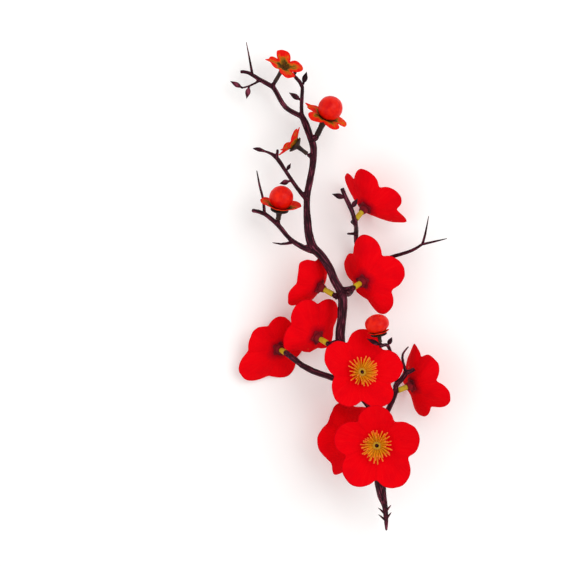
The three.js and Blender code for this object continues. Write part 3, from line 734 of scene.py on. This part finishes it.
def sepals(number, blossom):
    """Calyx of a blossom: a star of sepals that follows the petals' back, and its neck"""
    name = f"blossom_{number}_calyx"
    matrix = placing(blossom.seat, blossom.facing, radians(blossom.turn))

    def place(share, angle):
        radius, _, fold, off, own = petal_edge(blossom.full, blossom.petals, angle)
        tip = SEPAL_NOTCH + SEPAL_TIP * (1 - fold) ** 1.3
        out = CALYX_HOLE + share * (tip - CALYX_HOLE)
        along = max(out - PETAL_HOLE, 0) / (radius - PETAL_HOLE)
        cloth = petal_point(blossom.cup, blossom.full, blossom.petals, along, angle)
        ruffle = SEPAL_RUFFLE * noise.noise(Vector((own, share, number)))
        drop = SEPAL_DROP + SEPAL_DROOP * share * (1 - fold) + ruffle
        point = Vector((out * cos(angle), out * sin(angle), cloth.z - drop))
        return point, Vector((off * 2, share, own)), on_cloth(out, angle)

    bm = ring_sheet(12 * PETALS, 6, place)
    thicken(bm, SEPAL_CLOTH)
    star = object_of(name, bm, SEPAL, matrix)
    smoothed(star)
    stands_for(star, name)
    bm = bmesh.new()
    turned(bm, NECK_PROFILE, 20, closed=True)
    bmesh.ops.recalc_face_normals(bm, faces=bm.faces)
    neck = object_of(f"{name}_neck", bm, SEPAL, matrix)
    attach(neck, "root")


def filament(bm, tone, number, strand):
    """One filament; each leaves the hub at the golden angle from the one before"""
    spin = strand * GOLDEN_ANGLE + 0.4 * number
    pick = noise.noise(Vector((strand * 3.7, number * 5.1, 0.5)))
    rise = radians(FILAMENT_RISE + FILAMENT_SPAN * (strand / FILAMENTS) + 8 * pick)
    length = FILAMENT_LENGTH + 2 * noise.noise(Vector((number * 2.3, strand * 1.9, 3.5)))
    way = Vector((cos(spin), sin(spin), 0))
    sideways = Vector((-sin(spin), cos(spin), 0))
    points = []
    for along, radius in FILAMENT_SHAPE:
        out = FILAMENT_ROOT + along * length * cos(rise)
        high = FILAMENT_FOOT + along * length * sin(rise) - FILAMENT_SAG * along * along
        bend = 0.9 * pick * along * along
        stop = way * out + sideways * bend + UP * high
        points.append(Vector((*stop, radius)))
    for vert in limb(bm, points, 6):
        reach = (vert.co.xy.length - FILAMENT_ROOT) / (length * cos(rise))
        vert[tone] = FILAMENT_TONE + (1 - FILAMENT_TONE) * min(max(reach, 0), 1) ** 3


def stamens(number, blossom):
    """Hollow stem, hub and filaments of a blossom"""
    name = f"blossom_{number}_stamens"
    bm = bmesh.new()
    tone = bm.verts.layers.float.new("tone")
    for vert in turned(bm, STEM_PROFILE, 18, closed=True):
        if vert.co.z > EYE_HEIGHT:
            vert[tone] = EYE_TONE
        elif vert.co.z > 0:
            vert[tone] = HUB_TONE
        else:
            vert[tone] = STEM_TONE * (1 + vert.co.z / STEM_LENGTH)
    for strand in range(FILAMENTS):
        filament(bm, tone, number, strand)
    bmesh.ops.recalc_face_normals(bm, faces=bm.faces)
    made = object_of(name, bm, STAMEN,
                     placing(blossom.seat, blossom.facing, radians(blossom.turn)))
    stands_for(made, name)


# Bud flowers


def bud_petals(number, bud, matrix):
    """Sheet that follows the ball up to the brim of the cup, and flares above it"""
    name = f"{bud.name}_petals"
    radius = bud.round + (BALL_GAP + BUD_SHEET_ROOM / 2) / bud.squash

    def place(share, angle):
        off, fold, own, _ = petal_at(angle, bud.lobes)
        edge = bud.open * (1 - 0.3 * fold ** 3)
        climb = SHEET_START + share * (edge - SHEET_START)
        past = (climb - bud.brim - BRIM_CLEAR) / (bud.open - bud.brim - BRIM_CLEAR)
        past = max(0, past)
        pick = noise.noise(Vector((own * 3.3, number * 7.1, 0.2)))
        reach = bud.flare * (1 + 0.25 * pick) * past ** 1.3
        if own == SPURS.get(bud.name):
            reach += SPUR_LENGTH * share ** 4 * exp(-(off / SPUR_WIDTH) ** 2)
        spread = radius * sin(radians(climb)) + reach
        ruffle = noise.noise(Vector((2.5 * cos(angle), 2.5 * sin(angle), number + share)))
        level = -bud.squash * radius * cos(radians(climb)) - bud.droop * past ** 2
        level += past * bud.flare * 0.22 * ruffle
        point = Vector((spread * cos(angle), spread * sin(angle), level))
        petal = Vector((off * bud.lobes / 2.5, share, own + 5 * number))
        return point, petal, on_cloth(share * BUD_REACH, angle)

    bm = ring_sheet(96, 12, place)
    thicken(bm, BUD_SHEET)
    sheet = object_of(name, bm, BUD_CLOTH, matrix)
    smoothed(sheet)
    stands_for(sheet, name)


def bud_cup(bud, length, matrix):
    """Cup round the ball, on its peg"""
    name = f"{bud.name}_cup"
    inner = bud.round + (2 * BALL_GAP + BUD_SHEET_ROOM) / bud.squash
    outer = inner + CUP_WALL
    lean = asin(bud.peg / outer)
    brim = radians(bud.brim)
    foot = GAP - length

    def on_cup(distance, angle):
        return distance * sin(angle), -bud.squash * distance * cos(angle)

    profile = [(PEG_END, foot), (bud.peg, foot), (bud.peg, foot + 0.4)]
    profile.append((bud.peg * 0.94, -bud.squash * outer * 0.55 - length * 0.45))
    profile.append(on_cup(outer + 0.3, lean * 1.15))
    profile += [on_cup(outer, brim * share) for share in (0.45, 0.6, 0.75, 0.9)]
    profile.append(on_cup((inner + outer) / 2, brim))
    profile += [on_cup(inner, brim * share) for share in (0.9, 0.6, 0.3, 0.04)]
    bm = bmesh.new()
    turned(bm, profile, 24)
    bmesh.ops.recalc_face_normals(bm, faces=bm.faces)
    cup = object_of(name, bm, CUP, matrix)
    stands_for(cup, name)


def bud_ball(number, bud, matrix):
    """Slightly dented ball, flattened along its stem where the bud is"""
    name = f"{bud.name}_ball"
    bm = bmesh.new()
    bmesh.ops.create_icosphere(bm, subdivisions=6, radius=bud.round)
    for vert in bm.verts:
        spot = vert.co / bud.round * 3.2 + Vector((0, 0, 9 * number))
        vert.co *= 1 + 0.012 * noise.noise(spot) + 0.006 * noise.noise(spot * 2.7)
    bmesh.ops.scale(bm, vec=(1, 1, bud.squash), verts=bm.verts)
    ball = object_of(name, bm, BALL, matrix)
    stands_for(ball, name)


def bud_flower(number, bud):
    """Petals and cup of a bud flower, and its ball where it has one"""
    stem = Vector(bud.middle) - Vector(bud.foot)
    matrix = placing(bud.middle, stem, radians(bud.turn))
    bud_petals(number, bud, matrix)
    bud_cup(bud, stem.length, matrix)
    if bud.filled:
        bud_ball(number, bud, matrix)


# Branch


def peg_routes(stalk, foot, facing, boss, pin, length):
    """Arm to a flower's boss, the boss that it's pushed against, and the pin inside it"""
    def at(distance, size):
        return Vector((*(foot + facing * distance), size))
    start = Vector((*stalk, boss))
    arm = [start, start.lerp(at(-BOSS_END, boss), 0.5), at(-BOSS_END, boss)]
    collar = [at(-2.9, boss), at(-0.5, boss), at(-0.15, boss * 0.94), at(0, boss * 0.75)]
    return arm, collar, [at(-BOSS_END, pin), at(length - 0.2, pin), at(length, pin * 0.6)]


def merged_limbs(routes):
    """One smooth mesh of all the limbs that run along these routes"""
    bm = bmesh.new()
    for route in routes:
        limb(bm, route, 12)
    bmesh.ops.recalc_face_normals(bm, faces=bm.faces)
    rough = object_of("rough_limbs", bm, BARK)
    merge = rough.modifiers.new("merge", "REMESH")
    merge.mode = "VOXEL"
    merge.voxel_size = MERGE_SIZE * MM
    merged = bpy.data.meshes.new_from_object(
        rough.evaluated_get(bpy.context.evaluated_depsgraph_get()))
    bpy.data.objects.remove(rough)
    bm = bmesh.new()
    bm.from_mesh(merged)
    bmesh.ops.scale(bm, vec=(1 / MM,) * 3, verts=bm.verts)
    for _ in range(SMOOTH_PASSES):
        bmesh.ops.smooth_vert(bm, verts=bm.verts, factor=0.5, use_axis_x=True, use_axis_y=True,
                              use_axis_z=True)
    return bm


def branch():
    """Trunk, side branches, bosses, pins, needles and leaf buds in one piece"""
    thick = [smooth_route(route, ROUTE_STEP) for route in LIMBS]
    thin = [smooth_route(route, ROUTE_STEP) for route in NEEDLES]
    for blossom in BLOSSOMS:
        facing = Vector(blossom.facing).normalized()
        foot = Vector(blossom.seat) - facing * STEM_LENGTH
        arm, collar, pin = peg_routes(blossom.stalk, foot, facing, BLOSSOM_BOSS, BLOSSOM_PIN,
                                      STEM_LENGTH + PIN_PAST_SEAT)
        thick += [arm, collar]
        thin.append(pin)
    for bud in BUDS:
        foot = Vector(bud.foot)
        facing = (Vector(bud.middle) - foot).normalized()
        arm, collar, pin = peg_routes(bud.stalk, foot, facing, bud.peg, BUD_PIN,
                                      BUD_PIN_LENGTH)
        thick += [arm, collar]
        thin.append(pin)
    bm = merged_limbs(thick)
    for route in thin:
        limb(bm, route, 8)
    for root, tip, width in LEAF_BUDS:
        leaf_bud(bm, Vector(root), Vector(tip), width)
    bmesh.ops.recalc_face_normals(bm, faces=bm.faces)
    grain(bm, thick + thin)
    made = object_of("branch_bark", bm, BARK)
    stands_for(made, "branch")


def leaf_bud(bm, root, tip, width):
    """Flattened bud with a drawn-out point, on a thin stalk"""
    points = [Vector((*root.lerp(tip, along), width * size)) for along, size in LEAF_BUD_SHAPE]
    verts = limb(bm, points, 10)
    way = (tip - root).normalized()
    flat = (UP - way * UP.dot(way)).normalized()
    for vert in verts:
        height = (vert.co - root).dot(flat)
        share = min(max((vert.co - root).dot(way) / (tip - root).length, 0), 1)
        vert.co -= flat * height * LEAF_BUD_FLATNESS * sin(pi * share)


def grain(bm, routes):
    """Lengthwise ridges, with the place round and along the limb kept for the finish"""
    layer = bm.verts.layers.float_vector.new("bark")
    samples = []
    for number, route in enumerate(routes):
        travelled = 0
        for spot, (along_route, point) in enumerate(zip(frames_along(route), route)):
            if spot:
                travelled += (point.to_3d() - route[spot - 1].to_3d()).length
            samples.append((along_route.inverted(), point[3], travelled + 37 * number))
    tree = KDTree(len(samples))
    places = [point.to_3d() for route in routes for point in route]
    for spot, place in enumerate(places):
        tree.insert(place, spot)
    tree.balance()
    bm.normal_update()
    for vert in bm.verts:
        _, spot, _ = tree.find(vert.co)
        inverse, size, travelled = samples[spot]
        local = inverse @ vert.co
        across = local.xy
        if across.length > 1e-6:
            across.normalize()
        along = travelled + local.z
        vert[layer] = Vector((across.x * size, across.y * size, along))
        ridge = noise.noise(Vector((across.x * 1.9, across.y * 1.9, along * 0.13)))
        fine = noise.noise(Vector((across.x * 4.5, across.y * 4.5, along * 0.35)))
        relief = RIDGE * ridge + FINE_RIDGE * fine
        vert.co += vert.normal * min(size, WIDEST_RIDGED) * relief


# The whole branch

for index, flower in enumerate(BLOSSOMS, 1):
    petal_sheet(index, flower)
    sepals(index, flower)
    stamens(index, flower)
for index, flower in enumerate(BUDS, 1):
    bud_flower(index, flower)
branch()

# Studio

FLOOR_SIZE = 1500
FLOOR_DROP = 0.2
ROOM_COLOUR = (1, 0.995, 0.985, 1)
ROOM_LIGHT = 0.74

# Lamps: name, place in metres, size and power
LAMPS = [
    ("key", (0.75, 0.45, 1.3), 1.1, 9),
    ("fill", (-0.9, -0.5, 1.2), 1.3, 4),
]

# Camera straight above, in metres; its picture is 567 pixels of 0.5693 mm wide at the branch
CAMERA_X = -32.73 * MM
CAMERA_Y = 1.54 * MM
CAMERA_FAR = 3.2
BRANCH_HEIGHT = 25 * MM
PICTURE_WIDTH = 567 * 0.5693 * MM


def studio():
    bm = bmesh.new()
    bmesh.ops.create_grid(bm, x_segments=1, y_segments=1, size=FLOOR_SIZE)
    bmesh.ops.translate(bm, vec=(0, 0, -FLOOR_DROP), verts=bm.verts)
    pale, _, _ = new_finish("pale_floor", {
        "Base Color": (0.97, 0.97, 0.965, 1), "Roughness": 0.9, "Specular IOR Level": 0.1,
        "Emission Color": (1, 1, 1, 1), "Emission Strength": 0.07})
    object_of("floor", bm, pale)
    world = bpy.data.worlds.new("soft_room")
    world.use_nodes = True
    room = world.node_tree.nodes["Background"]
    room.inputs["Color"].default_value = ROOM_COLOUR
    room.inputs["Strength"].default_value = ROOM_LIGHT
    bpy.context.scene.world = world
    for name, place, size, power in LAMPS:
        lamp = bpy.data.lights.new(name, "AREA")
        lamp.size = size
        lamp.energy = power
        stand = bpy.data.objects.new(name, lamp)
        stand.location = place
        stand.rotation_mode = "QUATERNION"
        stand.rotation_quaternion = (-Vector(place)).to_track_quat("-Z", "Y")
        bpy.context.scene.collection.objects.link(stand)


def camera():
    """Looks straight down from afar"""
    lens = bpy.data.cameras.new("camera")
    lens.sensor_width = 36
    lens.lens = lens.sensor_width * CAMERA_FAR / PICTURE_WIDTH
    lens.clip_end = 20
    stand = bpy.data.objects.new("camera", lens)
    stand.location = (CAMERA_X, CAMERA_Y, CAMERA_FAR + BRANCH_HEIGHT)
    bpy.context.scene.collection.objects.link(stand)
    bpy.context.scene.camera = stand


studio()
camera()
bpy.context.scene.view_settings.view_transform = "Standard"
